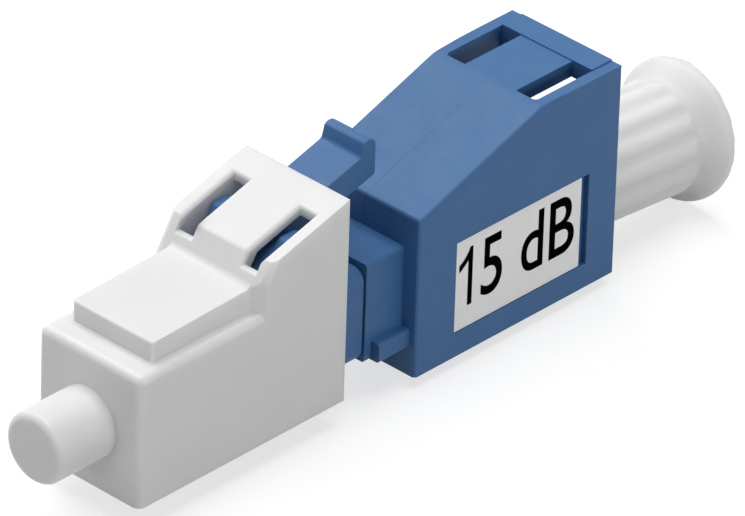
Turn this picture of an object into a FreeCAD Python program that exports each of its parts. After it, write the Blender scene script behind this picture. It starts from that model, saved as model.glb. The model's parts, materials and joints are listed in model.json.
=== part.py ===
import FreeCAD, Part
import math
import os

# Plug-in fibre attenuator with its dust cap and dust plug, in millimetres.
# X runs along the fibre from the plug end to the socket end, Y across and Z up.
# The origin is the middle of the housing's base, and the rating label is on the -Y side.

# Housing: the main moulding, with a sloped top at the plug end
housing_length = 12.0
housing_width = 6.2
housing_height = 10.1
housing_front_height = 7.6
slope_length = 7.25
fold_radius = 1.5
roof_thickness = 0.75
axis_height = 3.62

# Socket: the opening for the mating plug, with two latch windows in its roof
port_clearance = 0.19
port_floor_clearance = 0.14
bulkhead_thickness = 2.2
window_setback = 0.12
window_corner = 0.2
window_overhang = 0.16
bar_length = 1.23
bar_step = 0.06

# Collar with its two guide lugs
collar_length = 2.2
collar_step = 0.06
collar_rise = 0.24
collar_edge = 0.15
guide_length = 1.8
guide_height = 0.9
guide_reach = 0.47
guide_edge = 0.15

# Rating label and its recess
label_setback = 2.33
label_rear_setback = 2.09
label_height = 4.36
label_thickness = 0.24
label_bottom = 1.18
label_clearance = 0.02
recess_depth = 0.28
recess_gap = 0.4

# Plug nose
plug_width = 4.42
plug_length = 10.8
plug_corner = 0.6
plug_seam = 0.07
nose_bore = 3.0
nose_bore_depth = 3.0
shoulder_thickness = 0.8
passage_clearance = 0.22
spigot_wall = 0.3
spigot_clearance = 0.02
spigot_length = 1.6

# Ferrule, fibre, collar and spring
ferrule_diameter = 1.249
ferrule_reach = 1.8
ferrule_chamfer = 0.15
fibre_diameter = 0.125
ferrule_collar_length = 1.2
ferrule_collar_clearance = 0.06
hub_wall = 0.33
hub_length = 1.0
hub_gap = 0.12
spring_wire = 0.3
spring_clearance = 0.12
spring_turns = 5
spring_wire_sides = 6
seat_length = 1.0
seat_clearance = 0.04
seat_play = 0.125

# Sleeve and its holder
sleeve_fit = 0.02
sleeve_wall = 0.18
sleeve_length = 5.8
sleeve_slit = 0.3
sleeve_play = 0.03
sleeve_end_play = 0.05
holder_wall = 0.48
holder_flange_length = 1.0
holder_clearance = 0.03
lip_length = 0.6
lip_clearance = 0.1

# Latch lever, flexing at its root on top of the plug nose
latch_width = 2.3
latch_flexure_setback = 0.9
latch_root_length = 0.65
latch_root_height = 0.6
latch_root_slope = 0.3
latch_mid_height = 1.25
latch_bend_setback = 6.35
latch_knee_setback = 1.86
latch_tail_height = 5.04
latch_slope = 0.277
latch_thickness = 0.56
latch_tail_thickness = 1.35
latch_tail_reach = 0.67
tab_length = 0.88
tab_height = 0.55
tab_lean = 0.15
tab_cove = 0.25

# Catch lugs on both sides of the latch
lug_setback = 7.3
lug_length = 2.6
lug_height = 3.27
lug_ramp_rise = 1.4
lug_toe = 0.35
lug_shoulder_height = 1.0
lug_crest_length = 1.1
lug_nose_run = 0.3
lug_nose_drop = 0.6
lug_nose_round = 0.3
lug_ledge_width = 0.42
lug_ledge_drop = 0.38
lug_root = 0.25
slot_clearance = 0.12

# Dust cap over the plug
cap_gap = 1.86
cap_wall = 0.63
cap_floor = 0.65
cap_deck = 0.93
cap_front_wall = 0.89
cap_tip_gap = 0.3
cap_edge = 0.38
hood_corner = 0.3
hood_flare = 0.33
flare_hollow = 0.2
bridge_crown = 0.3
plug_clearance = 0.1
pad_width = 4.52
pad_height = 0.92
pad_rise = 0.17
pad_setback = 1.29
pad_corner = 0.12
ramp_run = 0.69
ramp_wall = 0.58
ramp_cove = 0.5
cap_roof = 0.47
cap_roof_clearance = 0.12
cap_slot_rear_gap = 0.3
slot_edge = 0.22
sill_height = 0.72
sill_round = 0.2
stub_diameter = 3.22
stub_length = 3.16
stub_edge = 0.35

# Dust plug, hanging a little low in the socket
tail_droop = 5.0
droop_depth = 4.0
tail_clearance = 0.45
tail_gap = 0.07
tail_nose_gap = 0.7
tail_wall = 0.4
tail_end_wall = 2.2
barrel_diameter = 4.9
barrel_length = 5.85
rib_count = 14
rib_width = 1.1
rib_rise = 0.16
rib_length = 5.75
rib_end_run = 0.3
rim_diameter = 6.38
rim_thickness = 0.4
flare_length = 0.95
flare_cove = 0.8

# Diameters and widths that follow from what they hold
ferrule_passage = ferrule_diameter + 2 * passage_clearance
hub_diameter = ferrule_diameter + 2 * hub_wall
spring_outer = hub_diameter + 2 * hub_gap + 2 * spring_wire
spring_bore = spring_outer + 2 * spring_clearance
spigot_outer = spring_bore + 2 * spigot_wall
collar_bore = spigot_outer + 2 * spigot_clearance
sleeve_bore = ferrule_diameter + 2 * sleeve_fit
sleeve_outer = sleeve_bore + 2 * sleeve_wall
holder_bore = sleeve_outer + 2 * sleeve_play
holder_outer = holder_bore + 2 * holder_wall
lip_bore = ferrule_diameter + 2 * lip_clearance
port_width = plug_width + 2 * port_clearance
window_outer = port_width / 2 + window_overhang
collar_width = plug_width + 2 * collar_step
lug_inner = latch_width / 2 + lug_ledge_width
slot_inner = lug_inner - slot_clearance

# Places along the fibre
face = -housing_length / 2
rear = housing_length / 2
fold = face + slope_length
bulkhead = face + bulkhead_thickness
collar_front = face - collar_length
nose = collar_front - plug_length
shoulder_front = nose + nose_bore_depth
shoulder = shoulder_front + shoulder_thickness
spigot_end = collar_front + spigot_length
holder_seat = spigot_end + holder_flange_length
spring_front = shoulder + ferrule_collar_length
seat_front = spigot_end - seat_length
sleeve_front = spigot_end + sleeve_end_play
holder_lip = sleeve_front + sleeve_length + sleeve_end_play
holder_end = holder_lip + lip_length
ferrule_tip = nose - ferrule_reach
ferrule_end = sleeve_front + sleeve_length / 2
flexure = nose + latch_flexure_setback
latch_bend = collar_front - latch_bend_setback
latch_knee = collar_front - latch_knee_setback
latch_tail = face - latch_tail_reach
lug_shoulder = nose + lug_setback
cap_rear = collar_front - cap_gap
cap_front = ferrule_tip - cap_tip_gap - cap_front_wall
ramp_foot = latch_bend - ramp_wall
ramp_top = ramp_foot + ramp_run

# Heights
plug_top = axis_height + plug_width / 2
collar_bottom = axis_height - plug_width / 2 - collar_step
port_floor = axis_height - plug_width / 2 - port_floor_clearance
port_ceiling = housing_height - roof_thickness
cap_inside = plug_width / 2 + plug_clearance
cap_side = cap_inside + cap_wall
cap_base = axis_height - cap_inside - cap_floor
cap_deck_under = axis_height + cap_inside
cap_deck_top = cap_deck_under + cap_deck
pad_top = cap_deck_top + pad_height
ramp_height = pad_top + pad_rise
sill_top = pad_top + sill_height

# How far a cutting solid runs past an open face, and what counts as the same place
past = housing_width / 6
near = 1e-6


def vec(x, y, z):
    return FreeCAD.Vector(x, y, z)


def block(x0, x1, y0, y1, z0, z1):
    return Part.makeBox(x1 - x0, y1 - y0, z1 - z0, vec(x0, y0, z0))


def centred_block(x0, x1, width, z0, z1):
    return block(x0, x1, -width / 2, width / 2, z0, z1)


def corner_arc(before, corner, after, radius):
    """Start, middle and end of the arc that rounds a corner between two straight runs."""
    back = (before - corner).normalize()
    ahead = (after - corner).normalize()
    half_turn = back.getAngle(ahead) / 2
    reach = radius / math.tan(half_turn)
    inward = (back + ahead).normalize()
    middle = corner + inward * (radius / math.sin(half_turn) - radius)
    return corner + back * reach, middle, corner + ahead * reach


def closed_face(points, radii):
    """Flat face with straight sides, each corner rounded by its own radius, or sharp at 0."""
    edges = []
    ends = []
    for number, (corner, radius) in enumerate(zip(points, radii)):
        if radius == 0:
            ends.append((corner, corner))
            continue
        after = points[(number + 1) % len(points)]
        start, middle, end = corner_arc(points[number - 1], corner, after, radius)
        edges.append(Part.Arc(start, middle, end).toShape())
        ends.append((start, end))
    for number, (start, _) in enumerate(ends):
        last_end = ends[number - 1][1]
        if start.distanceToPoint(last_end) > near:
            edges.append(Part.makeLine(last_end, start))
    return Part.Face(Part.Wire(Part.__sortEdges__(edges)))


def slab(outline, y0, y1):
    """Solid between two planes, from a side view of (x, z) points or (x, z, corner radius) ones."""
    points = [vec(corner[0], y0, corner[1]) for corner in outline]
    radii = [corner[2] if len(corner) > 2 else 0 for corner in outline]
    return closed_face(points, radii).extrude(vec(0, y1 - y0, 0))


def centred_slab(outline, width):
    return slab(outline, -width / 2, width / 2)


def rod(x0, x1, diameter):
    """Cylinder on the fibre's axis."""
    return Part.makeCylinder(diameter / 2, x1 - x0, vec(x0, 0, axis_height), vec(1, 0, 0))


def turned(outline):
    """Solid turned about the fibre's axis, from (x, radius) points or (x, radius, corner radius) ones."""
    points = [vec(corner[0], 0, axis_height + corner[1]) for corner in outline]
    radii = [corner[2] if len(corner) > 2 else 0 for corner in outline]
    return closed_face(points, radii).revolve(vec(0, 0, axis_height), vec(1, 0, 0), 360)


def runs_along_fibre(edge):
    """True for a straight edge parallel to the fibre."""
    if edge.Curve.TypeId != "Part::GeomLine":
        return False
    return edge.tangentAt(edge.FirstParameter).cross(vec(1, 0, 0)).Length < near


def rounded(shape, radius, chosen):
    """The shape with a fillet on each edge that the test picks."""
    return shape.makeFillet(radius, [edge for edge in shape.Edges if chosen(edge)])


def mirrored(shape):
    """The shape together with its mirror image across the middle plane."""
    return shape.fuse(shape.mirror(vec(0, 0, 0), vec(0, 1, 0)))


def slope_height(x):
    """Height of the housing's sloped top."""
    rise = housing_height - housing_front_height
    return housing_front_height + rise * (x - face) / slope_length


def make_port():
    """Space inside the socket, with a ceiling that follows the sloped top."""
    outline = [
        (bulkhead, port_floor),
        (rear + past, port_floor),
        (rear + past, port_ceiling),
        (fold, port_ceiling),
        (bulkhead, slope_height(bulkhead) - roof_thickness),
    ]
    return centred_slab(outline, port_width)


def make_window():
    """Latch window in the socket's roof, on one side, with a rounded outer front corner."""
    window_front = fold + window_setback
    window = block(
        window_front,
        rear - bar_length,
        slot_inner,
        window_outer,
        port_ceiling - past,
        housing_height + past,
    )
    return rounded(
        window,
        window_corner,
        lambda edge: edge.BoundBox.XMax < window_front + near and edge.BoundBox.YMin > window_outer - near,
    )


def make_recess():
    """Shallow recess for the rating label, longer than the label at its rear end."""
    return block(
        face + label_setback - label_clearance,
        rear - label_rear_setback + recess_gap,
        -housing_width / 2 - past,
        -housing_width / 2 + recess_depth,
        label_bottom - label_clearance,
        label_bottom + label_height + label_clearance,
    )


def make_housing():
    body = centred_slab(
        [
            (face, 0),
            (rear, 0),
            (rear, housing_height),
            (fold, housing_height, fold_radius),
            (face, housing_front_height),
        ],
        housing_width,
    )
    collar = centred_block(collar_front, bulkhead, collar_width, collar_bottom, plug_top + collar_rise)
    collar = rounded(collar, collar_edge, runs_along_fibre)
    guides_width = collar_width + 2 * guide_reach
    guides = centred_block(
        face - guide_length, bulkhead, guides_width, collar_bottom, collar_bottom + guide_height
    )
    guides = rounded(guides, guide_edge, runs_along_fibre)
    bar = centred_block(rear - bar_length, rear, 2 * window_outer, port_ceiling, housing_height + bar_step)
    spigot_hole = rod(collar_front - past, holder_seat, collar_bore)
    holder_hole = rod(holder_seat - past, bulkhead + past, holder_outer + 2 * holder_clearance)
    openings = [make_port(), mirrored(make_window()), make_recess(), spigot_hole, holder_hole]
    return body.fuse([collar, guides, bar]).cut(openings).removeSplitter()


def make_label():
    seat = -housing_width / 2 + recess_depth
    return block(
        face + label_setback,
        rear - label_rear_setback,
        seat - label_thickness,
        seat,
        label_bottom,
        label_bottom + label_height,
    )


def make_plug():
    body_end = collar_front - plug_seam
    body = centred_block(nose, body_end, plug_width, axis_height - plug_width / 2, plug_top)
    body = rounded(body, plug_corner, runs_along_fibre)
    spigot = rod(collar_front - past, spigot_end, spigot_outer)
    openings = [
        rod(nose - past, shoulder_front, nose_bore),
        rod(shoulder_front - past, shoulder + past, ferrule_passage),
        rod(shoulder, spigot_end + past, spring_bore),
    ]
    return body.fuse(spigot).cut(openings).removeSplitter()


def make_fibre():
    return rod(ferrule_tip, ferrule_end, fibre_diameter)


def make_ferrule():
    radius = ferrule_diameter / 2
    body = turned(
        [
            (ferrule_tip, 0),
            (ferrule_end, 0),
            (ferrule_end, radius - ferrule_chamfer),
            (ferrule_end - ferrule_chamfer, radius),
            (ferrule_tip + ferrule_chamfer, radius),
            (ferrule_tip, radius - ferrule_chamfer),
        ]
    )
    return body.cut(make_fibre())


def make_ferrule_collar():
    """Flange that stops on the plug's shoulder, with a hub inside the spring."""
    hub_end = spring_front + hub_length
    flange = rod(shoulder, spring_front, spring_bore - 2 * ferrule_collar_clearance)
    hub = rod(shoulder, hub_end, hub_diameter)
    return flange.fuse(hub).cut(rod(shoulder - past, hub_end + past, ferrule_diameter)).removeSplitter()


def make_spring():
    """Helical spring that fills the space between the ferrule's collar and the seat."""
    height = seat_front - spring_front - spring_wire
    path = Part.makeHelix(height / spring_turns, height, (spring_outer - spring_wire) / 2)
    first = path.Edges[0]
    start = first.valueAt(first.FirstParameter)
    tangent = first.tangentAt(first.FirstParameter)
    outward = vec(1, 0, 0) * (spring_wire / 2)
    corners = []
    for number in range(spring_wire_sides + 1):
        turn = FreeCAD.Rotation(tangent, 360 * number / spring_wire_sides)
        corners.append(start + turn.multVec(outward))
    section = Part.makePolygon(corners)
    coil = Part.Wire(path).makePipeShell([section], True, True)
    coil.rotate(vec(0, 0, 0), vec(0, 1, 0), 90)
    coil.translate(vec(spring_front + spring_wire / 2, 0, axis_height))
    return coil


def make_spring_seat():
    ring = rod(seat_front, spigot_end, spring_bore - 2 * seat_clearance)
    return ring.cut(rod(seat_front - past, spigot_end + past, ferrule_diameter + 2 * seat_play))


def make_sleeve():
    end = sleeve_front + sleeve_length
    tube = rod(sleeve_front, end, sleeve_outer).cut(rod(sleeve_front - past, end + past, sleeve_bore))
    slit_top = axis_height + sleeve_outer
    slit = centred_block(sleeve_front - past, end + past, sleeve_slit, axis_height, slit_top)
    return tube.cut(slit)


def make_sleeve_holder():
    flange = rod(spigot_end, holder_seat, collar_bore - 2 * holder_clearance)
    tube = rod(spigot_end, holder_end, holder_outer)
    bore = rod(spigot_end - past, holder_lip, holder_bore)
    mouth = rod(holder_lip - past, holder_end + past, lip_bore)
    return flange.fuse(tube).cut([bore, mouth]).removeSplitter()


def latch_top(x):
    """Height of the straight upper stretch of the latch arm, carried on along its length."""
    return plug_top + latch_tail_height - latch_slope * (face - x)


def curve(points, start_slope, end_slope):
    """Smooth side-view curve through points, from a slope at its start to one at its end."""
    way = 1 if points[-1].x > points[0].x else -1
    line = Part.BSplineCurve()
    line.interpolate(
        points,
        InitialTangent=vec(way, 0, way * start_slope),
        FinalTangent=vec(way, 0, way * end_slope),
    )
    return line.toShape()


def make_latch():
    """Curved arm with a thumb tab and a catch lug on each side."""
    mid_top = plug_top + latch_mid_height
    tab_front = latch_tail - tab_length
    tab_middle = (tab_front + tab_lean + latch_tail) / 2
    root_front = vec(flexure - latch_root_length, 0, plug_top)
    root_top = vec(flexure - latch_root_length / 2, 0, plug_top + latch_root_height)
    bend_top = vec(latch_bend, 0, mid_top)
    knee_top = vec(latch_knee, 0, latch_top(latch_knee))
    tab_foot = vec(tab_front, 0, latch_top(tab_front))
    tab_rise = vec(tab_front + tab_lean, 0, latch_top(tab_front) + tab_height)
    tab_crest = vec(tab_middle, 0, latch_top(tab_middle) + tab_height)
    tail_top = vec(latch_tail, 0, latch_top(latch_tail))
    tail_under = vec(latch_tail, 0, latch_top(latch_tail) - latch_tail_thickness)
    knee_under = vec(latch_knee, 0, latch_top(latch_knee) - latch_tail_thickness)
    bend_under = vec(latch_bend + latch_thickness / 2, 0, mid_top - latch_thickness)
    root_rear = vec(flexure, 0, plug_top)
    cove_start, cove_middle, cove_end = corner_arc(knee_top, tab_foot, tab_rise, tab_cove)
    outline = Part.Wire(
        [
            Part.makeLine(root_front, root_top),
            curve([root_top, bend_top, knee_top], 0, latch_slope),
            Part.makeLine(knee_top, cove_start),
            Part.Arc(cove_start, cove_middle, cove_end).toShape(),
            Part.makeLine(cove_end, tab_rise),
            Part.Arc(tab_rise, tab_crest, tail_top).toShape(),
            Part.makeLine(tail_top, tail_under),
            Part.makeLine(tail_under, knee_under),
            curve([knee_under, bend_under, root_rear], latch_slope, latch_root_slope),
            Part.makeLine(root_rear, root_front),
        ]
    )
    arm = Part.Face(outline).extrude(vec(0, latch_width, 0))
    arm.translate(vec(0, -latch_width / 2, 0))
    return arm.fuse(mirrored(make_lug())).removeSplitter()


def make_lug():
    """Catch lug with a blunt nose over a front ramp, a square rear shoulder and a ledge by the arm."""
    crest = plug_top + lug_height
    toe = crest - lug_ramp_rise
    lug_nose = lug_shoulder - lug_crest_length
    outline = [
        (lug_shoulder, crest - lug_shoulder_height, 0),
        (lug_shoulder, crest, lug_nose_round),
        (lug_nose, crest, lug_nose_round),
        (lug_nose - lug_nose_run, crest - lug_nose_drop, 0),
        (lug_shoulder - lug_length, toe, 0),
        (lug_shoulder - lug_length, toe - lug_toe, 0),
    ]
    ledge = [(x, min(z, crest - lug_ledge_drop)) for x, z, _ in outline]
    catch = slab(outline, lug_inner, plug_width / 2)
    return catch.fuse(slab(ledge, latch_width / 2 - lug_root, lug_inner)).removeSplitter()


def roof_under(x):
    """Height of the underside of the dust cap's roof, which follows the latch."""
    return latch_top(x) + cap_roof_clearance


def roof_top(x):
    """Height of the outside of the dust cap's roof."""
    return roof_under(x) + cap_roof


def make_hood():
    """Sloped roof over the latch, as wide as the cap, with its ramp carried down to the deck."""
    ramp_lean = ramp_run / (roof_top(ramp_top) - ramp_height)
    hood_front = ramp_foot - (ramp_height - cap_deck_under) * ramp_lean
    hood = centred_slab(
        [
            (hood_front, cap_deck_under),
            (cap_rear, cap_deck_under),
            (cap_rear, roof_top(cap_rear)),
            (ramp_top, roof_top(ramp_top)),
        ],
        2 * cap_side,
    )
    return rounded(hood, hood_corner, is_ramp_side_edge)


def is_ramp_side_edge(edge):
    """True for the slanted edge on each side of the ramp."""
    box = edge.BoundBox
    return box.YLength < near and box.ZMin < cap_deck_under + near and box.XMax < ramp_top + near


def make_flare():
    """Space by the ramp's foot on the label side, where the hood's side flares out from the pad."""
    plan = [
        vec(cap_front, -pad_width / 2, cap_deck_under),
        vec(ramp_foot, -pad_width / 2, cap_deck_under),
        vec(ramp_foot + hood_flare, -cap_side, cap_deck_under),
        vec(ramp_foot + hood_flare, -cap_side - past, cap_deck_under),
        vec(cap_front, -cap_side - past, cap_deck_under),
    ]
    return closed_face(plan, [0, flare_hollow, 0, 0, 0]).extrude(vec(0, 0, housing_height))


def make_pad():
    """Thumb pad that rises a little to the ramp and meets it in a hollow curve."""
    pad_front = cap_front + pad_setback
    pad_rear = (ramp_foot + ramp_top) / 2
    pad = centred_slab(
        [
            (pad_front, cap_deck_under),
            (pad_rear, cap_deck_under),
            (pad_rear, (ramp_height + roof_top(ramp_top)) / 2),
            (ramp_foot, ramp_height, ramp_cove),
            (pad_front, pad_top),
        ],
        pad_width,
    )
    return rounded(pad, pad_corner, lambda edge: edge.BoundBox.XMax < pad_front + near)


def make_latch_chamber():
    """Space under the hood, as wide as the plug."""
    inner_top = ramp_top + ramp_wall
    outline = [
        (ramp_foot + ramp_wall, axis_height),
        (cap_rear + past, axis_height),
        (cap_rear + past, roof_under(cap_rear + past)),
        (inner_top, roof_under(inner_top)),
        (ramp_foot + ramp_wall, pad_top),
    ]
    return centred_slab(outline, 2 * cap_inside)


def make_cap_slot():
    """Slot in the hood over one catch lug, open through the roof and the top of the ramp."""
    slot_rear = lug_shoulder + cap_slot_rear_gap
    above = roof_top(cap_rear) + past
    over_sill = block(ramp_foot, slot_rear, slot_inner, cap_inside, sill_top, above)
    behind_sill = block(ramp_foot + ramp_wall, slot_rear, slot_inner, cap_inside, pad_top, above)
    return over_sill.fuse(behind_sill).removeSplitter()


def is_rounded_cap_edge(edge):
    """True for the front edges of the cap's lower block, except the bottom one, and its upper side edges."""
    box = edge.BoundBox
    on_front = box.XMax < cap_front + near and box.ZMax > cap_base + near
    on_deck = box.ZMin > cap_deck_top - near and runs_along_fibre(edge)
    return on_front or on_deck


def make_cap():
    body = centred_block(cap_front, cap_rear, 2 * cap_side, cap_base, cap_deck_top)
    body = rounded(body, cap_edge, is_rounded_cap_edge)
    stub_end = cap_front - stub_length
    stub = rod(stub_end, cap_front + cap_front_wall / 2, stub_diameter)
    stub = rounded(stub, stub_edge, lambda edge: edge.BoundBox.XMax < stub_end + near)
    plug_space = centred_block(
        cap_front + cap_front_wall, cap_rear + past, 2 * cap_inside, axis_height - cap_inside, cap_deck_under
    )
    channel = centred_block(
        nose - plug_clearance,
        cap_rear,
        latch_width + 2 * plug_clearance,
        axis_height,
        plug_top + latch_mid_height + cap_roof_clearance,
    )
    openings = [plug_space, channel, make_latch_chamber(), mirrored(make_cap_slot())]
    cap = body.fuse([make_hood().cut(make_flare()), make_pad(), stub]).cut(openings).removeSplitter()
    cap = rounded(cap, bridge_crown, is_bridge_crown)
    cap = rounded(cap, slot_edge, is_slot_edge)
    return rounded(cap, sill_round, is_sill_edge)


def is_bridge_crown(edge):
    """True for the edge between the roof and the ramp, on the bridge between the two slots."""
    box = edge.BoundBox
    across = abs(box.XMax - ramp_top) < near and box.XLength < near and box.ZLength < near
    return across and abs(box.Center.y) < near


def is_slot_edge(edge):
    """True for the edges of the two slots on the roof."""
    box = edge.BoundBox
    beside = slot_inner - near < abs(box.Center.y) < cap_inside + near
    on_roof = all(abs(corner.Z - roof_top(corner.X)) < near for corner in edge.Vertexes)
    return beside and on_roof and box.XMax < cap_rear - near


def is_sill_edge(edge):
    """True for the edge where the ramp ends in the sill at the front of each slot."""
    box = edge.BoundBox
    at_sill = abs(box.ZMin - sill_top) < near and abs(box.ZMax - sill_top) < near
    return at_sill and box.XLength < near and box.XMax < ramp_foot + ramp_wall


def make_rear_plug():
    """Fluted dust plug, turned about the socket's axis and then hung a little low."""
    droop = math.tan(math.radians(tail_droop))
    barrel_radius = barrel_diameter / 2
    spigot_radius = axis_height - port_floor - droop_depth * droop - tail_clearance
    tail_bore_radius = spigot_radius - tail_wall
    spigot_front = holder_end + tail_nose_gap
    barrel_front = rear + tail_gap + (barrel_radius + rib_rise) * droop
    flare = barrel_front + barrel_length
    rim = flare + flare_length
    end = rim + rim_thickness
    body = turned(
        [
            (spigot_front, tail_bore_radius),
            (spigot_front, spigot_radius),
            (barrel_front, spigot_radius),
            (barrel_front, barrel_radius),
            (flare, barrel_radius, flare_cove),
            (rim, rim_diameter / 2),
            (end, rim_diameter / 2),
            (end, 0),
            (end - tail_end_wall, 0),
            (end - tail_end_wall, tail_bore_radius),
        ]
    )
    rib_radius = rib_width / 2
    rib_pitch_radius = barrel_radius + rib_rise - rib_radius
    ribs = []
    for number in range(rib_count):
        angle = math.pi * (2 * number + 1) / rib_count
        across = rib_pitch_radius * math.cos(angle)
        centre = vec(barrel_front, across, axis_height + rib_pitch_radius * math.sin(angle))
        ribs.append(Part.makeCylinder(rib_radius, rib_length, centre, vec(1, 0, 0)))
    rib_end = barrel_front + rib_length
    rib_envelope = turned(
        [
            (barrel_front, 0),
            (barrel_front, barrel_radius + rib_rise),
            (rib_end - rib_end_run, barrel_radius + rib_rise),
            (rib_end, barrel_radius),
            (rib_end, 0),
        ]
    )
    body = body.fuse([rib.common(rib_envelope) for rib in ribs]).removeSplitter()
    body.rotate(vec(rear - droop_depth, 0, axis_height), vec(0, 1, 0), tail_droop)
    return body


def main():
    pieces = {
        "attenuator_housing": make_housing(),
        "rating_label": make_label(),
        "plug_housing": make_plug(),
        "latch_lever": make_latch(),
        "ferrule": make_ferrule(),
        "doped_fibre": make_fibre(),
        "ferrule_collar": make_ferrule_collar(),
        "ferrule_spring": make_spring(),
        "spring_seat": make_spring_seat(),
        "split_sleeve": make_sleeve(),
        "sleeve_holder": make_sleeve_holder(),
        "front_dust_cap": make_cap(),
        "rear_dust_plug": make_rear_plug(),
    }
    os.makedirs("parts", exist_ok=True)
    for name, shape in pieces.items():
        shape.exportStep("parts/" + name + ".step")


main()
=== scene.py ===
"""Dresses the packed fibre attenuator: mouldings, rating label, ceramic and metal inside, and a stage."""

import json
import math

import bpy
from mathutils import Matrix, Vector

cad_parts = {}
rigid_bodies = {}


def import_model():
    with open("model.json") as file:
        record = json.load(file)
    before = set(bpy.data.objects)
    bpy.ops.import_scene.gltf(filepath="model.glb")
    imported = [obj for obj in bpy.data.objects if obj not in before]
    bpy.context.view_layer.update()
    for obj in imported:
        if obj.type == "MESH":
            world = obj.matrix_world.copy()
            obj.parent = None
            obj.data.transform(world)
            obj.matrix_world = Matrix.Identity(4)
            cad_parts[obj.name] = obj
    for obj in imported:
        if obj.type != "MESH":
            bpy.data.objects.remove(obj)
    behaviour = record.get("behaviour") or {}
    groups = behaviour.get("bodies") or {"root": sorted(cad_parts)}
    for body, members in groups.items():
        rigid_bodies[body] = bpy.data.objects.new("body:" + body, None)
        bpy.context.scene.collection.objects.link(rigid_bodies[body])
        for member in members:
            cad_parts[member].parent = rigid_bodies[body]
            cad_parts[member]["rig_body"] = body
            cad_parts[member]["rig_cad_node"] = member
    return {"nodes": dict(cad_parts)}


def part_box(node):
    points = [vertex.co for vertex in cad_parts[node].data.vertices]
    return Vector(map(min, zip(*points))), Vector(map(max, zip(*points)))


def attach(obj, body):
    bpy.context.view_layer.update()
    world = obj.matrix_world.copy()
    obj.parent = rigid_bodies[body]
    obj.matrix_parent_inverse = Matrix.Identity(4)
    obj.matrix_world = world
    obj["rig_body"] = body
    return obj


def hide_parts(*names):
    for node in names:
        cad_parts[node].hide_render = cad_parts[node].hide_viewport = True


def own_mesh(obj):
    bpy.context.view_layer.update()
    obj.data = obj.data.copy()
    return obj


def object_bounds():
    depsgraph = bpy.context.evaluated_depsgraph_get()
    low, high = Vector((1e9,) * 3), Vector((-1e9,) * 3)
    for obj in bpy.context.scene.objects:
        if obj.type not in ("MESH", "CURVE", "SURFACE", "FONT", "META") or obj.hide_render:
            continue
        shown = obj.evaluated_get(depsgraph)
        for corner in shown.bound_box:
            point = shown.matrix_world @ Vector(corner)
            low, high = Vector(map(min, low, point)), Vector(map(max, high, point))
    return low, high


bl_info = {
    "name": "Fibre attenuator dressing",
    "version": (1, 0, 0),
    "blender": (4, 5, 0),
    "location": "View3D > Sidebar > Attenuator",
    "description": "Gives a packed fibre attenuator its mouldings, rating label, ceramic, metal and stage",
    "category": "Object",
}

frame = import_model()
cad_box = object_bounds()

MM = 0.001
HOUSING_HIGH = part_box("attenuator_housing")[1]
LABEL_LOW, LABEL_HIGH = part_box("rating_label")
FIBRE_LOW, FIBRE_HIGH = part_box("doped_fibre")
FIBRE_HEIGHT = (FIBRE_LOW.z + FIBRE_HIGH.z) / 2

# How copies of CAD nodes are merged, rounded and shaded
MERGE_GAP = 1e-6
FLAT_WITHIN = math.radians(0.4)
OUTER_SHARP_FROM = math.radians(25)
SMOOTH_WITHIN = math.radians(32)
SHARP_FROM = math.radians(38)
WIRE_SMOOTH_WITHIN = math.radians(60)
MELT_STRENGTH = 0.5
MELT_PASSES = 12

# How far red, green and blue light go into white plastic, with red as the unit
GLOW_TINT = (1, 0.98, 0.95)

# Where the print starts and ends, from the label's front edge
FIGURE_ONE_SPAN = (0.21 * MM, 1.02 * MM)
RATING_SPAN = (1.56 * MM, 7.2 * MM)

# Stage: the floor's size, and the lamps' sizes, places and aim
FLOOR_RADIUS = 0.9
FLOOR_CORNERS = 96
BROAD_LAMP = 0.4
LOW_LAMP = 0.25
OVERHEAD = (0, 0, 0.55)
ABOVE_AND_BEHIND = (0, 0.38, 0.4)
OFF_LABEL_SIDE = (0, -0.54, 0.1)
OFF_PLUG_END = (-0.54, 0, 0.1)
OFF_SOCKET_END = (0.54, 0, 0.1)
LAMP_AIM = Vector((-0.006, 0, 0.005))

# Outline of the label's figure 1, with its height as the unit
FIGURE_ONE = (
    (0.367, 0), (0.367, 1), (0.288, 1), (0.249, 0.932), (0.179, 0.867), (0.103, 0.805), (0, 0.75),
    (0, 0.632), (0.059, 0.656), (0.128, 0.695), (0.2, 0.742), (0.245, 0.779), (0.245, 0))


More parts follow.
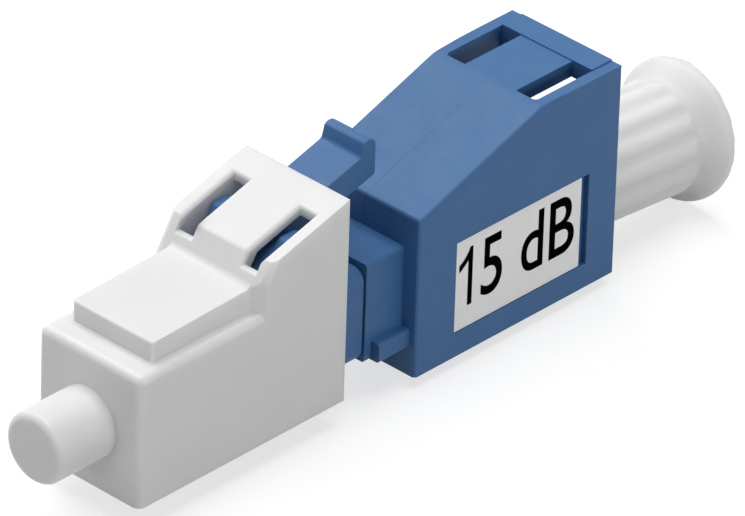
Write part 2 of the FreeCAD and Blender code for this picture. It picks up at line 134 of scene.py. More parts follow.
class MouldingLook(bpy.types.PropertyGroup):
    """Colours and surface of the moulded plastics."""

    blue: bpy.props.FloatVectorProperty(
        name="Blue", description="Colour of the housing, plug nose and latch",
        subtype="COLOR", size=3, min=0, max=1, default=(0.047, 0.14, 0.318))
    blue_deep: bpy.props.FloatVectorProperty(
        name="Blue, deep", description="Colour of the darker flow marks in the blue plastic",
        subtype="COLOR", size=3, min=0, max=1, default=(0.042, 0.129, 0.299))
    white: bpy.props.FloatVectorProperty(
        name="White", description="Colour of the dust cap and dust plug",
        subtype="COLOR", size=3, min=0, max=1, default=(0.745, 0.745, 0.743))
    white_deep: bpy.props.FloatVectorProperty(
        name="White, deep", description="Colour of the duller flow marks in the white plastic",
        subtype="COLOR", size=3, min=0, max=1, default=(0.724, 0.724, 0.721))
    blue_roughness: bpy.props.FloatProperty(
        name="Blue roughness", description="Roughness of the blue plastic", min=0, max=1, default=0.5)
    white_roughness: bpy.props.FloatProperty(
        name="White roughness", description="Roughness of the white plastic", min=0, max=1, default=0.46)
    blue_gloss: bpy.props.FloatProperty(
        name="Blue gloss", description="Level of the blue plastic's reflections", min=0, max=1, default=0.3)
    cap_glow: bpy.props.FloatProperty(
        name="Cap glow", description="Share of the light that goes into the dust cap's plastic",
        min=0, max=1, default=0.35)
    cap_glow_depth: bpy.props.FloatProperty(
        name="Cap glow depth", description="How far light goes into the dust cap's plastic",
        unit="LENGTH", min=0, default=1.0 * MM)
    plug_glow: bpy.props.FloatProperty(
        name="Plug glow", description="Share of the light that goes into the dust plug's plastic",
        min=0, max=1, default=0.75)
    plug_glow_depth: bpy.props.FloatProperty(
        name="Plug glow depth", description="How far light goes into the dust plug's plastic",
        unit="LENGTH", min=0, default=1.5 * MM)
    edge: bpy.props.FloatProperty(
        name="Moulded edge", description="Width of the soft edge on the dust cap, plug nose and sleeve holder",
        unit="LENGTH", min=0, default=0.05 * MM)
    outer_edge: bpy.props.FloatProperty(
        name="Outer edge", description="Width of the rounded edge round the housing's sides and on the latch",
        unit="LENGTH", min=0, default=0.13 * MM)
    plug_grid: bpy.props.FloatProperty(
        name="Dust plug grid", description="Spacing of the grid that the dust plug's soft form is built on",
        unit="LENGTH", min=1e-6, default=0.075 * MM)
    grain: bpy.props.FloatProperty(
        name="Grain size", description="Size of the fine texture that the mould leaves",
        unit="LENGTH", min=1e-6, default=0.11 * MM)
    white_relief: bpy.props.FloatProperty(
        name="White relief", description="Depth of the fine texture on the white plastic",
        unit="LENGTH", min=0, default=0.0035 * MM)
    blue_relief: bpy.props.FloatProperty(
        name="Blue relief", description="Depth of the fine texture on the blue plastic",
        unit="LENGTH", min=0, default=0.008 * MM)
    parting_line: bpy.props.FloatProperty(
        name="Parting line", description="Width of the fine line that the two mould halves leave",
        unit="LENGTH", min=0, default=0.05 * MM)


class LabelLook(bpy.types.PropertyGroup):
    """The rating label's film and print."""

    film: bpy.props.FloatVectorProperty(
        name="Film", description="Colour of the label film",
        subtype="COLOR", size=3, min=0, max=1, default=(0.95, 0.95, 0.95))
    ink: bpy.props.FloatVectorProperty(
        name="Ink", description="Colour of the print",
        subtype="COLOR", size=3, min=0, max=1, default=(0.001, 0.001, 0.0012))
    rating: bpy.props.StringProperty(
        name="Rating", description="What follows the leading figure 1 on the label", default="5 dB")
    print_height: bpy.props.FloatProperty(
        name="Print height", description="Height of the tallest letters",
        unit="LENGTH", min=0, default=2.82 * MM)
    print_rise: bpy.props.FloatProperty(
        name="Print rise", description="How far the print sits above the label's middle",
        unit="LENGTH", default=0.27 * MM)
    print_thickness: bpy.props.FloatProperty(
        name="Print thickness", description="How far the ink stands on the film",
        unit="LENGTH", min=0, default=0.012 * MM)


class InnerLook(bpy.types.PropertyGroup):
    """Ceramic, glass and metal inside the attenuator."""

    ceramic: bpy.props.FloatVectorProperty(
        name="Ceramic", description="Colour of the ferrule and the split sleeve",
        subtype="COLOR", size=3, min=0, max=1, default=(0.84, 0.83, 0.79))
    glass: bpy.props.FloatVectorProperty(
        name="Fibre", description="Colour of the fibre's end face",
        subtype="COLOR", size=3, min=0, max=1, default=(0.34, 0.4, 0.42))
    brass: bpy.props.FloatVectorProperty(
        name="Plated brass", description="Colour of the ferrule collar and the spring seat",
        subtype="COLOR", size=3, min=0, max=1, default=(0.7, 0.66, 0.58))
    steel: bpy.props.FloatVectorProperty(
        name="Spring steel", description="Colour of the spring",
        subtype="COLOR", size=3, min=0, max=1, default=(0.56, 0.56, 0.55))


class StageLook(bpy.types.PropertyGroup):
    """Camera, lamps and floor."""

    floor: bpy.props.FloatVectorProperty(
        name="Floor", description="Colour of the floor",
        subtype="COLOR", size=3, min=0, max=1, default=(0.42, 0.42, 0.42))
    floor_lift: bpy.props.FloatProperty(
        name="Floor lift", description="Light added to the floor where it is seen, to bring it to white",
        min=0, default=0.68)
    floor_bounce: bpy.props.FloatProperty(
        name="Floor bounce", description="Share of the light that the floor sends back to the object",
        min=0, max=1, default=0.46)
    camera_place: bpy.props.FloatVectorProperty(
        name="Camera place", description="Where the camera stands",
        subtype="TRANSLATION", unit="LENGTH", size=3, default=(-0.29529, -0.26824, 0.25035))
    azimuth: bpy.props.FloatProperty(
        name="Azimuth", description="Turn of the camera about the vertical",
        subtype="ANGLE", default=math.radians(-47.218))
    elevation: bpy.props.FloatProperty(
        name="Elevation", description="How far the camera looks down",
        subtype="ANGLE", default=math.radians(31.932))
    roll: bpy.props.FloatProperty(
        name="Roll", description="Turn of the camera about its line of sight",
        subtype="ANGLE", default=math.radians(1.908))
    lens: bpy.props.FloatProperty(
        name="Lens", description="Focal length of the camera in millimetres", min=1, default=545.59)
    sky: bpy.props.FloatProperty(
        name="Sky", description="Strength of the light from all round", min=0, default=0.072)
    key: bpy.props.FloatProperty(
        name="Key lamp", description="Power of the broad lamp overhead", unit="POWER", min=0, default=1.87)
    back_light: bpy.props.FloatProperty(
        name="Back light", description="Power of the broad lamp above and behind",
        unit="POWER", min=0, default=1.87)
    side_fill: bpy.props.FloatProperty(
        name="Side fill", description="Power of the low lamp on the label's side",
        unit="POWER", min=0, default=0.95)
    end_fill: bpy.props.FloatProperty(
        name="End fill", description="Power of the low lamp off each end", unit="POWER", min=0, default=0.43)


class NodeSheet:
    """A material's node tree, with short calls to add and join nodes."""

    def __init__(self, name):
        self.material = bpy.data.materials.new(name)
        self.material.use_nodes = True
        self.nodes = self.material.node_tree.nodes
        self.links = self.material.node_tree.links
        self.shader = self.nodes["Principled BSDF"]
        self.place = self.add("ShaderNodeTexCoord").outputs["Object"]

    def add(self, kind, **settings):
        node = self.nodes.new(kind)
        for name, value in settings.items():
            setattr(node, name, value)
        return node

    def join(self, source, target):
        self.links.new(source, target)

    def noise(self, size, detail=2.0, roughness=0.5, stretch=(1, 1, 1)):
        """Noise whose blobs are about that size in metres."""
        mapping = self.add("ShaderNodeMapping")
        mapping.inputs["Scale"].default_value = [axis / size for axis in stretch]
        texture = self.add("ShaderNodeTexNoise")
        texture.inputs["Scale"].default_value = 1.0
        texture.inputs["Detail"].default_value = detail
        texture.inputs["Roughness"].default_value = roughness
        self.join(self.place, mapping.inputs["Vector"])
        self.join(mapping.outputs["Vector"], texture.inputs["Vector"])
        return texture.outputs["Fac"]

    def spread(self, source, low, high, start=0.3, end=0.7):
        """A value carried from a start-to-end range to a low-to-high one."""
        node = self.add("ShaderNodeMapRange", clamp=True)
        node.inputs["From Min"].default_value = start
        node.inputs["From Max"].default_value = end
        node.inputs["To Min"].default_value = low
        node.inputs["To Max"].default_value = high
        self.join(source, node.inputs["Value"])
        return node.outputs["Result"]

    def calculate(self, operation, first, second):
        node = self.add("ShaderNodeMath", operation=operation)
        for socket, value in zip(node.inputs, (first, second)):
            if isinstance(value, (int, float)):
                socket.default_value = value
            else:
                self.join(value, socket)
        return node.outputs["Value"]

    def mix(self, factor, first, second):
        """Colour between two, by a factor."""
        node = self.add("ShaderNodeMix", data_type="RGBA")
        self.join(factor, node.inputs["Factor"])
        for socket, colour in ((node.inputs["A"], first), (node.inputs["B"], second)):
            if hasattr(colour, "is_linked"):
                self.join(colour, socket)
            else:
                socket.default_value = (*colour, 1)
        return node.outputs["Result"]

    def bump(self, height, distance):
        node = self.add("ShaderNodeBump")
        node.inputs["Distance"].default_value = distance
        self.join(height, node.inputs["Height"])
        self.join(node.outputs["Normal"], self.shader.inputs["Normal"])

    def set(self, **values):
        for name, value in values.items():
            self.shader.inputs[name.replace("_", " ")].default_value = value


def moulded_plastic(name, colour, deep, roughness, grain, relief):
    """Satin moulding with flow marks in its colour, a fine grain and patches of duller skin."""
    sheet = NodeSheet(name)
    flow_size, skin_size = 2.6 * MM, 0.9 * MM
    glossier, duller = roughness - 0.05, roughness + 0.06
    flow = sheet.noise(flow_size, detail=3, roughness=0.55, stretch=(0.55, 1, 1))
    skin = sheet.noise(skin_size, detail=4, roughness=0.6)
    texture = sheet.noise(grain, detail=3, roughness=0.65)
    sheet.join(sheet.mix(sheet.spread(flow, 0, 1), colour, deep), sheet.shader.inputs["Base Color"])
    sheet.join(sheet.spread(skin, glossier, duller), sheet.shader.inputs["Roughness"])
    sheet.bump(texture, relief)
    return sheet


def white_plastic(name, look, share, depth):
    """White moulding that lets a share of the light in, to about that depth."""
    sheet = moulded_plastic(
        name, look.white, look.white_deep, look.white_roughness, look.grain, look.white_relief)
    depths = tuple(tint * depth for tint in GLOW_TINT)
    sheet.set(Subsurface_Weight=share, Subsurface_Radius=depths, Subsurface_Scale=1.0)
    return sheet.material


def blue_sheet(name, look):
    sheet = moulded_plastic(
        name, look.blue, look.blue_deep, look.blue_roughness, look.grain, look.blue_relief)
    sheet.set(Specular_IOR_Level=look.blue_gloss)
    return sheet


def blue_plastic(look):
    return blue_sheet("blue_moulding", look).material


def blue_plastic_with_parting_line(look):
    """Blue moulding with the mould's fine witness line down the middle of the front and the slope."""
    sheet = blue_sheet("blue_moulding_housing", look)
    line_core, line_rim = 0.25 * look.parting_line, 0.75 * look.parting_line
    fold_start, fold_end = 0.9 * MM, 1.3 * MM
    line_shade = 0.74
    axes = sheet.add("ShaderNodeSeparateXYZ")
    sheet.join(sheet.place, axes.inputs["Vector"])
    off_middle = sheet.calculate("ABSOLUTE", axes.outputs["Y"], 0)
    line = sheet.spread(off_middle, 1, 0, line_core, line_rim)
    before_fold = sheet.spread(axes.outputs["X"], 1, 0, fold_start, fold_end)
    witness = sheet.calculate("MULTIPLY", line, before_fold)
    colour = sheet.shader.inputs["Base Color"].links[0].from_socket
    darker = tuple(line_shade * value for value in look.blue)
    sheet.join(sheet.mix(witness, colour, darker), sheet.shader.inputs["Base Color"])
    return sheet.material


def label_film(look):
    """Matte synthetic film with a faint fibrous mottle."""
    sheet = NodeSheet("label_film")
    fibre_size, fibre_relief, mottle_shade = 0.16 * MM, 0.002 * MM, 0.965
    fibres = sheet.noise(fibre_size, detail=4, roughness=0.6, stretch=(0.35, 1, 1))
    duller = tuple(mottle_shade * value for value in look.film)
    sheet.join(sheet.mix(sheet.spread(fibres, 0, 1), look.film, duller), sheet.shader.inputs["Base Color"])
    sheet.join(sheet.spread(fibres, low=0.5, high=0.62), sheet.shader.inputs["Roughness"])
    sheet.bump(fibres, fibre_relief)
    return sheet.material


def label_ink(look):
    """Black print that covers the film a little unevenly."""
    sheet = NodeSheet("label_ink")
    patch_size, thinning = 0.12 * MM, 0.002
    cover = sheet.noise(patch_size, detail=3, roughness=0.6)
    thinner = tuple(value + thinning for value in look.ink)
    sheet.join(sheet.mix(sheet.spread(cover, 0, 1), look.ink, thinner), sheet.shader.inputs["Base Color"])
    sheet.join(sheet.spread(cover, low=0.7, high=0.85), sheet.shader.inputs["Roughness"])
    sheet.set(Specular_IOR_Level=0.0)
    return sheet.material


def polished_ceramic(look):
    """Ground and polished zirconia, with a trace of the grinding left round it."""
    sheet = NodeSheet("zirconia_ceramic")
    cloud_size, grinding_size, grinding_depth = 0.7 * MM, 0.05 * MM, 0.0006 * MM
    warm_tint = (0.985, 0.97, 0.94)
    body = sheet.noise(cloud_size, detail=3)
    grinding = sheet.noise(grinding_size, detail=2, stretch=(1, 0.15, 0.15))
    warmer = tuple(value * tint for value, tint in zip(look.ceramic, warm_tint))
    sheet.join(sheet.mix(sheet.spread(body, 0, 1), look.ceramic, warmer), sheet.shader.inputs["Base Color"])
    sheet.join(sheet.spread(grinding, low=0.14, high=0.24), sheet.shader.inputs["Roughness"])
    sheet.bump(grinding, grinding_depth)
    sheet.set(IOR=2.1, Subsurface_Weight=0.15, Subsurface_Scale=1.0,
              Subsurface_Radius=(0.3 * MM, 0.28 * MM, 0.24 * MM))
    return sheet.material


def fibre_glass(look):
    """Doped glass, darker in its core than in its cladding."""
    sheet = NodeSheet("fibre_glass")
    core_edge, cladding_edge, core_shade = 0.008 * MM, 0.014 * MM, 0.25
    axes = sheet.add("ShaderNodeSeparateXYZ")
    sheet.join(sheet.place, axes.inputs["Vector"])
    across = sheet.calculate("POWER", axes.outputs["Y"], 2)
    up = sheet.calculate("POWER", sheet.calculate("SUBTRACT", axes.outputs["Z"], FIBRE_HEIGHT), 2)
    radius = sheet.calculate("SQRT", sheet.calculate("ADD", across, up), 0)
    core = sheet.spread(radius, 1, 0, core_edge, cladding_edge)
    deep = tuple(core_shade * value for value in look.glass)
    sheet.join(sheet.mix(core, look.glass, deep), sheet.shader.inputs["Base Color"])
    sheet.set(Roughness=0.08, IOR=1.46)
    return sheet.material


def turned_metal(name, colour, line_size, stretch):
    """Bright metal with fine tool lines."""
    sheet = NodeSheet(name)
    tarnish_size, tarnish_shade, line_depth = 0.8 * MM, 0.8, 0.0015 * MM
    lines = sheet.noise(line_size, detail=2, stretch=stretch)
    tarnish = sheet.noise(tarnish_size, detail=4)
    duller = tuple(tarnish_shade * value for value in colour)
    sheet.join(sheet.mix(sheet.spread(tarnish, 0, 1), colour, duller), sheet.shader.inputs["Base Color"])
    sheet.join(sheet.spread(lines, low=0.2, high=0.34), sheet.shader.inputs["Roughness"])
    sheet.bump(lines, line_depth)
    sheet.set(Metallic=1.0)
    return sheet.material


def show_only(piece):
    bpy.ops.object.select_all(action="DESELECT")
    piece.select_set(True)
    bpy.context.view_layer.objects.active = piece


def dress(piece, material):
    piece.data.materials.clear()
    piece.data.materials.append(material)


def merged_copy(node, name):
    """A copy of a CAD node with its loose triangles merged into whole faces."""
    show_only(frame["nodes"][node])
    bpy.ops.object.duplicate()
    piece = bpy.context.view_layer.objects.active
    piece.name = name
    piece.data.name = name
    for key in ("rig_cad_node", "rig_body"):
        if key in piece:
            del piece[key]
    piece.parent = None
    bpy.ops.mesh.customdata_custom_splitnormals_clear()
    bpy.ops.object.mode_set(mode="EDIT")
    bpy.ops.mesh.select_all(action="SELECT")
    bpy.ops.mesh.remove_doubles(threshold=MERGE_GAP)
    bpy.ops.mesh.dissolve_limited(angle_limit=FLAT_WITHIN)
    bpy.ops.object.mode_set(mode="OBJECT")
    return piece


def soften_edges(piece, width):
    """Puts a narrow rounded bevel on every sharp edge."""
    show_only(piece)
    bevel = piece.modifiers.new("moulded_edge", "BEVEL")
    bevel.width = width
    bevel.segments = 2
    bevel.limit_method = "ANGLE"
    bevel.angle_limit = SHARP_FROM
    bevel.miter_outer = "MITER_ARC"
    bpy.ops.object.modifier_apply(modifier=bevel.name)
    even_faces(piece)


def even_faces(piece):
    """Shades round surfaces smooth and flat ones flat."""
    show_only(piece)
    bpy.ops.object.shade_smooth_by_angle(angle=SMOOTH_WITHIN)
    even = piece.modifiers.new("even_faces", "WEIGHTED_NORMAL")
    even.keep_sharp = True
    bpy.ops.object.modifier_apply(modifier=even.name)


def is_outer_edge(ends):
    """Whether an edge bounds one of the housing's sides above the base, or is the front's upper edge."""
    side_slack, base_slack = 0.06 * MM, 0.1 * MM
    recess_margin = Vector((0.9, 0.5, 0.5)) * MM
    low, high = LABEL_LOW - recess_margin, LABEL_HIGH + recess_margin
    on_sides = all(abs(end.y) > HOUSING_HIGH.y - side_slack for end in ends)
    in_recess = all(low[axis] < end[axis] < high[axis] for end in ends for axis in range(3))
    on_one_side = ends[0].y * ends[1].y > 0
    on_base = all(end.z < base_slack for end in ends)
    on_front_top = all(end.x < LABEL_LOW.x and end.z > LABEL_HIGH.z for end in ends)
    on_rear = any(end.x > LABEL_HIGH.x for end in ends)
    return on_sides and (on_one_side or on_front_top) and not (in_recess or on_base or on_rear)


def round_outer_edges(housing, width):
    """Rounds the edges that bound the housing's sides, and leaves its recess, base and rear as they are."""
    show_only(housing)
    bpy.ops.object.mode_set(mode="EDIT")
    bpy.ops.mesh.select_mode(type="EDGE")
    bpy.ops.mesh.select_all(action="DESELECT")
    bpy.ops.mesh.edges_select_sharp(sharpness=OUTER_SHARP_FROM)
    bpy.ops.object.mode_set(mode="OBJECT")
    outer = [edge.index for edge in housing.data.edges if edge.select and is_outer_edge(
        [housing.data.vertices[index].co for index in edge.vertices])]
    bpy.ops.object.mode_set(mode="EDIT")
    bpy.ops.mesh.select_all(action="DESELECT")
    bpy.ops.object.mode_set(mode="OBJECT")
    for index in outer:
        housing.data.edges[index].select = True
    bpy.ops.object.mode_set(mode="EDIT")
    bpy.ops.mesh.bevel(offset=width, segments=3)
    bpy.ops.object.mode_set(mode="OBJECT")


def melt_edges(piece, grid):
    """Rebuilds a copy on a fine grid and smooths it, so that its flutes and corners run into each other."""
    show_only(piece)
    remesh = piece.modifiers.new("fine_grid", "REMESH")
    remesh.mode = "VOXEL"
    remesh.voxel_size = grid
    bpy.ops.object.modifier_apply(modifier=remesh.name)
    smooth = piece.modifiers.new("melted_edges", "SMOOTH")
    smooth.factor = MELT_STRENGTH
    smooth.iterations = MELT_PASSES
    bpy.ops.object.modifier_apply(modifier=smooth.name)
    bpy.ops.object.shade_smooth()


def moulding(node, name, body, material, edge):
    """Merged, soft-edged and dressed copy of a CAD node, which it stands for."""
    piece = merged_copy(node, name)
    soften_edges(piece, edge)
    finish_moulding(piece, node, body, material)


def finish_moulding(piece, node, body, material):
    """Dresses a copy and lets it stand for its CAD node."""
    dress(piece, material)
    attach(piece, body)
    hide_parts(node)


class MouldBody(bpy.types.Operator):
    """Housing, plug nose and sleeve holder in blue plastic"""

    bl_idname = "attenuator.mould_body"
    bl_label = "Mould the body"

    def execute(self, context):
        look = context.scene.attenuator_moulding
        blue = blue_plastic(look)
        lined = blue_plastic_with_parting_line(look)
        housing = merged_copy("attenuator_housing", "housing_moulding")
        round_outer_edges(housing, look.outer_edge)
        even_faces(housing)
        finish_moulding(housing, "attenuator_housing", "body", lined)
        moulding("plug_housing", "plug_nose_moulding", "body", blue, look.edge)
        moulding("sleeve_holder", "sleeve_holder_moulding", "body", blue, look.edge)
        return {"FINISHED"}


class MouldLatch(bpy.types.Operator):
    """Latch lever in blue plastic"""

    bl_idname = "attenuator.mould_latch"
    bl_label = "Mould the latch"

    def execute(self, context):
        look = context.scene.attenuator_moulding
        blue = blue_plastic(look)
        moulding("latch_lever", "latch_moulding", "latch", blue, look.outer_edge)
        return {"FINISHED"}


class MouldCaps(bpy.types.Operator):
    """Dust cap and dust plug in white plastic"""

    bl_idname = "attenuator.mould_caps"
    bl_label = "Mould the dust caps"

    def execute(self, context):
        look = context.scene.attenuator_moulding
        cap_plastic = white_plastic("white_moulding_cap", look, look.cap_glow, look.cap_glow_depth)
        plug_plastic = white_plastic("white_moulding_plug", look, look.plug_glow, look.plug_glow_depth)
        moulding("front_dust_cap", "dust_cap_moulding", "front_cap", cap_plastic, look.edge)
        plug = merged_copy("rear_dust_plug", "dust_plug_moulding")
        melt_edges(plug, look.plug_grid)
        finish_moulding(plug, "rear_dust_plug", "rear_plug", plug_plastic)
        return {"FINISHED"}


class PrintLabel(bpy.types.Operator):
    """Label film in the housing's recess, with its rating printed on it"""

    bl_idname = "attenuator.print_label"
    bl_label = "Print the label"

    def execute(self, context):
        look = context.scene.attenuator_label
        film = self.make_film()
        dress(film, label_film(look))
        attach(film, "body")
        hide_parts("rating_label")
        ink = label_ink(look)
        for letters in (self.make_figure_one(look), self.make_rating(look)):
            dress(letters, ink)
            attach(letters, "body")
        return {"FINISHED"}

    def make_film(self):
        """Thin film as large as its CAD solid, with its outline eased and its face edges softened."""
        corner, face_edge = 0.09 * MM, 0.03 * MM
        bpy.ops.object.select_all(action="DESELECT")
        bpy.ops.mesh.primitive_cube_add(size=1, location=(LABEL_LOW + LABEL_HIGH) / 2)
        film = bpy.context.object
        film.name = "label_film"
        film.dimensions = LABEL_HIGH - LABEL_LOW
        bpy.ops.object.transform_apply(location=True, rotation=True, scale=True)
        bpy.ops.object.mode_set(mode="EDIT")
        bpy.ops.mesh.select_mode(type="EDGE")
        bpy.ops.mesh.select_all(action="DESELECT")
        bpy.ops.object.mode_set(mode="OBJECT")
        for edge in film.data.edges:
            start, end = (film.data.vertices[index].co for index in edge.vertices)
            edge.select = abs(start.y - end.y) > corner
        bpy.ops.object.mode_set(mode="EDIT")
        bpy.ops.mesh.bevel(offset=corner, segments=4)
        bpy.ops.object.mode_set(mode="OBJECT")
        soften_edges(film, face_edge)
        return film

    def make_figure_one(self, look):
        """Figure 1 with its flag, from a flat outline that is given a thickness."""
        bpy.ops.object.select_all(action="DESELECT")
        bpy.ops.mesh.primitive_circle_add(vertices=len(FIGURE_ONE), fill_type="NGON")
        figure = bpy.context.object
        figure.name = "rating_figure_one"
        for vertex, (across, up) in zip(figure.data.vertices, FIGURE_ONE):
            vertex.co = (across, up, 0)
        bpy.ops.object.mode_set(mode="EDIT")
        bpy.ops.mesh.select_all(action="SELECT")
        bpy.ops.mesh.extrude_region_move(TRANSFORM_OT_translate={"value": (0, 0, 1)})
        bpy.ops.object.mode_set(mode="OBJECT")
        return self.lay_on_film(figure, look, *FIGURE_ONE_SPAN)

    def make_rating(self, look):
        """The rest of the rating, from text."""
        bpy.ops.object.select_all(action="DESELECT")
        bpy.ops.object.text_add()
        text = bpy.context.object
        text.data.body = look.rating
        text.data.extrude = 0.02
        text.data.offset = 0.008
        text.data.resolution_u = 8
        bpy.ops.object.convert(target="MESH")
        rating = bpy.context.object
        rating.name = "rating_print"
        return self.lay_on_film(rating, look, *RATING_SPAN)

    def lay_on_film(self, letters, look, start, end):
        """Fits letters between two distances from the film's front edge, upright on its face."""
        show_only(letters)
        corners = [Vector(corner) for corner in letters.bound_box]
        low = Vector(map(min, zip(*corners)))
        high = Vector(map(max, zip(*corners)))
        size = high - low
        height = (LABEL_LOW.z + LABEL_HIGH.z) / 2 + look.print_rise
        fit = Matrix.Diagonal(
            ((end - start) / size.x, look.print_height / size.y, look.print_thickness / size.z, 1))
        upright = Matrix.Rotation(math.pi / 2, 4, "X")
        face = Matrix.Translation((LABEL_LOW.x + (start + end) / 2, LABEL_LOW.y, height))
        letters.matrix_world = face @ upright @ fit @ Matrix.Translation(-(low + high) / 2)
        bpy.ops.object.transform_apply(location=True, rotation=True, scale=True)
        bpy.ops.object.mode_set(mode="EDIT")
        bpy.ops.mesh.select_all(action="SELECT")
        bpy.ops.mesh.remove_doubles(threshold=MERGE_GAP)
        bpy.ops.mesh.normals_make_consistent(inside=False)
        bpy.ops.object.mode_set(mode="OBJECT")
        return letters


class PolishOptics(bpy.types.Operator):
    """Ferrule, fibre and split sleeve"""

    bl_idname = "attenuator.polish_optics"
    bl_label = "Polish the optics"

    def execute(self, context):
        look = context.scene.attenuator_inner
        ceramic = polished_ceramic(look)
        dress(frame["nodes"]["ferrule"], ceramic)
        dress(frame["nodes"]["split_sleeve"], ceramic)
        dress(frame["nodes"]["doped_fibre"], fibre_glass(look))
        return {"FINISHED"}


class FitMetal(bpy.types.Operator):
    """Ferrule collar, spring seat and spring"""

    bl_idname = "attenuator.fit_metal"
    bl_label = "Fit the metal parts"

    def execute(self, context):
        look = context.scene.attenuator_inner
        turning, drawing = 0.05 * MM, 0.06 * MM
        plated = turned_metal("plated_brass", look.brass, turning, (1, 0.1, 0.1))
        dress(frame["nodes"]["ferrule_collar"], plated)
        dress(frame["nodes"]["spring_seat"], plated)
        spring = merged_copy("ferrule_spring", "spring_wire")
        bpy.ops.object.shade_smooth_by_angle(angle=WIRE_SMOOTH_WITHIN)
        dress(spring, turned_metal("drawn_steel", look.steel, drawing, (1, 1, 1)))
        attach(spring, "body")
        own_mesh(spring)
        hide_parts("ferrule_spring")
        return {"FINISHED"}


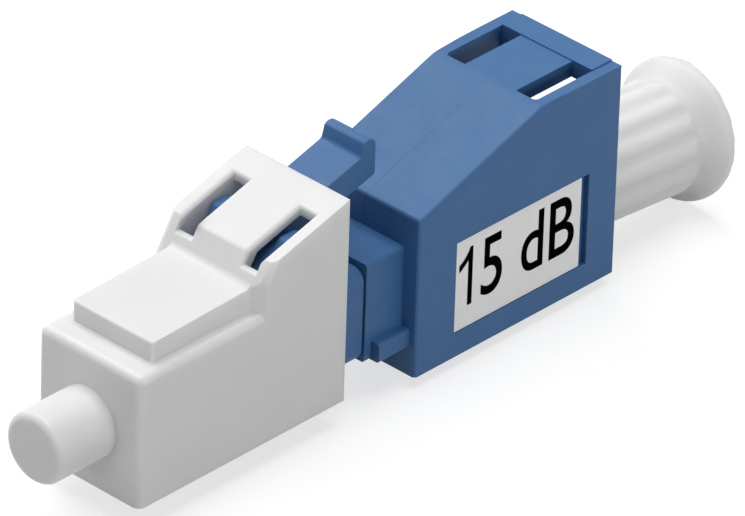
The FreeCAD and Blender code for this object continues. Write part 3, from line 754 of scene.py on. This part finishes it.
class SetStage(bpy.types.Operator):
    """White floor, soft lamps and the camera at the photograph's angle"""

    bl_idname = "attenuator.set_stage"
    bl_label = "Set the stage"

    def execute(self, context):
        look = context.scene.attenuator_stage
        self.lay_floor(look)
        self.light_room(context.scene, look)
        self.place_camera(context.scene, look)
        context.scene.view_settings.view_transform = "Standard"
        return {"FINISHED"}

    def lay_floor(self, look):
        bpy.ops.object.select_all(action="DESELECT")
        bpy.ops.mesh.primitive_circle_add(
            vertices=FLOOR_CORNERS, radius=FLOOR_RADIUS, fill_type="NGON", location=(0, 0, cad_box[0][2]))
        floor = bpy.context.object
        floor.name = "studio_floor"
        bpy.ops.object.transform_apply(location=True)
        dress(floor, self.floor_paint(look))

    def seen_directly(self, nodes, links):
        """1 for rays from the camera, from a gloss or through glass, else 0."""
        path = nodes.new("ShaderNodeLightPath")
        total = path.outputs["Is Camera Ray"]
        for name in ("Is Glossy Ray", "Is Transmission Ray"):
            either = nodes.new("ShaderNodeMath")
            either.operation = "MAXIMUM"
            links.new(total, either.inputs[0])
            links.new(path.outputs[name], either.inputs[1])
            total = either.outputs["Value"]
        return total

    def floor_paint(self, look):
        """Matt floor, lifted to white where it is seen, so that only the object's shadow shows on it."""
        sheet = NodeSheet("studio_floor_paint")
        nodes, links = sheet.nodes, sheet.links
        mottle_size, mottle_shade = 0.05, 0.985
        mottle = sheet.spread(sheet.noise(mottle_size, detail=2), 0, 1)
        duller = tuple(mottle_shade * value for value in look.floor)
        sheet.join(sheet.mix(mottle, look.floor, duller), sheet.shader.inputs["Base Color"])
        sheet.set(Roughness=0.9, Specular_IOR_Level=0.0)
        lift = nodes.new("ShaderNodeEmission")
        lift.inputs["Strength"].default_value = look.floor_lift
        both = nodes.new("ShaderNodeAddShader")
        links.new(sheet.shader.outputs["BSDF"], both.inputs[0])
        links.new(lift.outputs["Emission"], both.inputs[1])
        bounce = nodes.new("ShaderNodeBsdfDiffuse")
        grey = look.floor_bounce
        bounce.inputs["Color"].default_value = (grey, grey, grey, 1)
        choice = nodes.new("ShaderNodeMixShader")
        links.new(self.seen_directly(nodes, links), choice.inputs["Fac"])
        links.new(bounce.outputs["BSDF"], choice.inputs[1])
        links.new(both.outputs["Shader"], choice.inputs[2])
        links.new(choice.outputs["Shader"], nodes["Material Output"].inputs["Surface"])
        return sheet.material

    def light_room(self, scene, look):
        """White room where it is seen, a faint sky on the object, and five soft lamps."""
        world = bpy.data.worlds.new("studio_room")
        scene.world = world
        world.use_nodes = True
        nodes, links = world.node_tree.nodes, world.node_tree.links
        white = nodes["Background"]
        white.inputs["Color"].default_value = (1, 1, 1, 1)
        white.inputs["Strength"].default_value = 1.0
        sky = nodes.new("ShaderNodeBackground")
        sky.inputs["Color"].default_value = (1, 1, 1, 1)
        sky.inputs["Strength"].default_value = look.sky
        choice = nodes.new("ShaderNodeMixShader")
        links.new(self.seen_directly(nodes, links), choice.inputs["Fac"])
        links.new(sky.outputs["Background"], choice.inputs[1])
        links.new(white.outputs["Background"], choice.inputs[2])
        links.new(choice.outputs["Shader"], nodes["World Output"].inputs["Surface"])
        self.hang_lamp("key_lamp", look.key, BROAD_LAMP, OVERHEAD)
        self.hang_lamp("back_light", look.back_light, BROAD_LAMP, ABOVE_AND_BEHIND)
        self.hang_lamp("side_fill", look.side_fill, LOW_LAMP, OFF_LABEL_SIDE)
        self.hang_lamp("plug_end_fill", look.end_fill, LOW_LAMP, OFF_PLUG_END)
        self.hang_lamp("socket_end_fill", look.end_fill, LOW_LAMP, OFF_SOCKET_END)

    def hang_lamp(self, name, power, size, place):
        """Square soft lamp that faces the housing."""
        bpy.ops.object.light_add(type="AREA", location=place)
        lamp = bpy.context.object
        lamp.name = name
        lamp.data.energy = power
        lamp.data.size = size
        aim = LAMP_AIM - lamp.location
        lamp.rotation_euler = aim.to_track_quat("-Z", "Y").to_euler()

    def place_camera(self, scene, look):
        """Camera at its place, turned by its azimuth, elevation and roll."""
        bpy.ops.object.camera_add()
        camera = bpy.context.object
        camera.name = "photo_camera"
        flat = math.cos(look.elevation)
        back = Vector(
            (math.sin(look.azimuth) * flat, -math.cos(look.azimuth) * flat, math.sin(look.elevation)))
        side = Vector((0, 0, 1)).cross(back).normalized()
        up = back.cross(side)
        across = side * math.cos(look.roll) + up * math.sin(look.roll)
        upward = up * math.cos(look.roll) - side * math.sin(look.roll)
        turn = Matrix((across, upward, back)).transposed().to_4x4()
        camera.matrix_world = Matrix.Translation(look.camera_place) @ turn
        camera.data.sensor_fit = "HORIZONTAL"
        camera.data.sensor_width = 36
        camera.data.lens = look.lens
        scene.camera = camera


class AttenuatorPanel(bpy.types.Panel):
    """The attenuator's looks and the steps that make them"""

    bl_idname = "VIEW3D_PT_attenuator"
    bl_label = "Fibre attenuator"
    bl_space_type = "VIEW_3D"
    bl_region_type = "UI"
    bl_category = "Attenuator"

    def draw(self, context):
        for step in STEPS:
            self.layout.operator(step.bl_idname)
        for name, group in LOOKS.items():
            column = self.layout.column()
            column.label(text=group.__doc__)
            for setting in group.__annotations__:
                column.prop(getattr(context.scene, name), setting)


LOOKS = {
    "attenuator_moulding": MouldingLook,
    "attenuator_label": LabelLook,
    "attenuator_inner": InnerLook,
    "attenuator_stage": StageLook,
}
STEPS = (MouldBody, MouldLatch, MouldCaps, PrintLabel, PolishOptics, FitMetal, SetStage)


def register():
    for group in (*LOOKS.values(), *STEPS, AttenuatorPanel):
        bpy.utils.register_class(group)
    for name, group in LOOKS.items():
        setattr(bpy.types.Scene, name, bpy.props.PointerProperty(type=group))


def unregister():
    for name in LOOKS:
        delattr(bpy.types.Scene, name)
    for group in (AttenuatorPanel, *reversed(STEPS), *LOOKS.values()):
        bpy.utils.unregister_class(group)


def main():
    register()
    bpy.ops.attenuator.mould_body()
    bpy.ops.attenuator.mould_latch()
    bpy.ops.attenuator.mould_caps()
    bpy.ops.attenuator.print_label()
    bpy.ops.attenuator.polish_optics()
    bpy.ops.attenuator.fit_metal()
    bpy.ops.attenuator.set_stage()


if __name__ == "__main__":
    main()
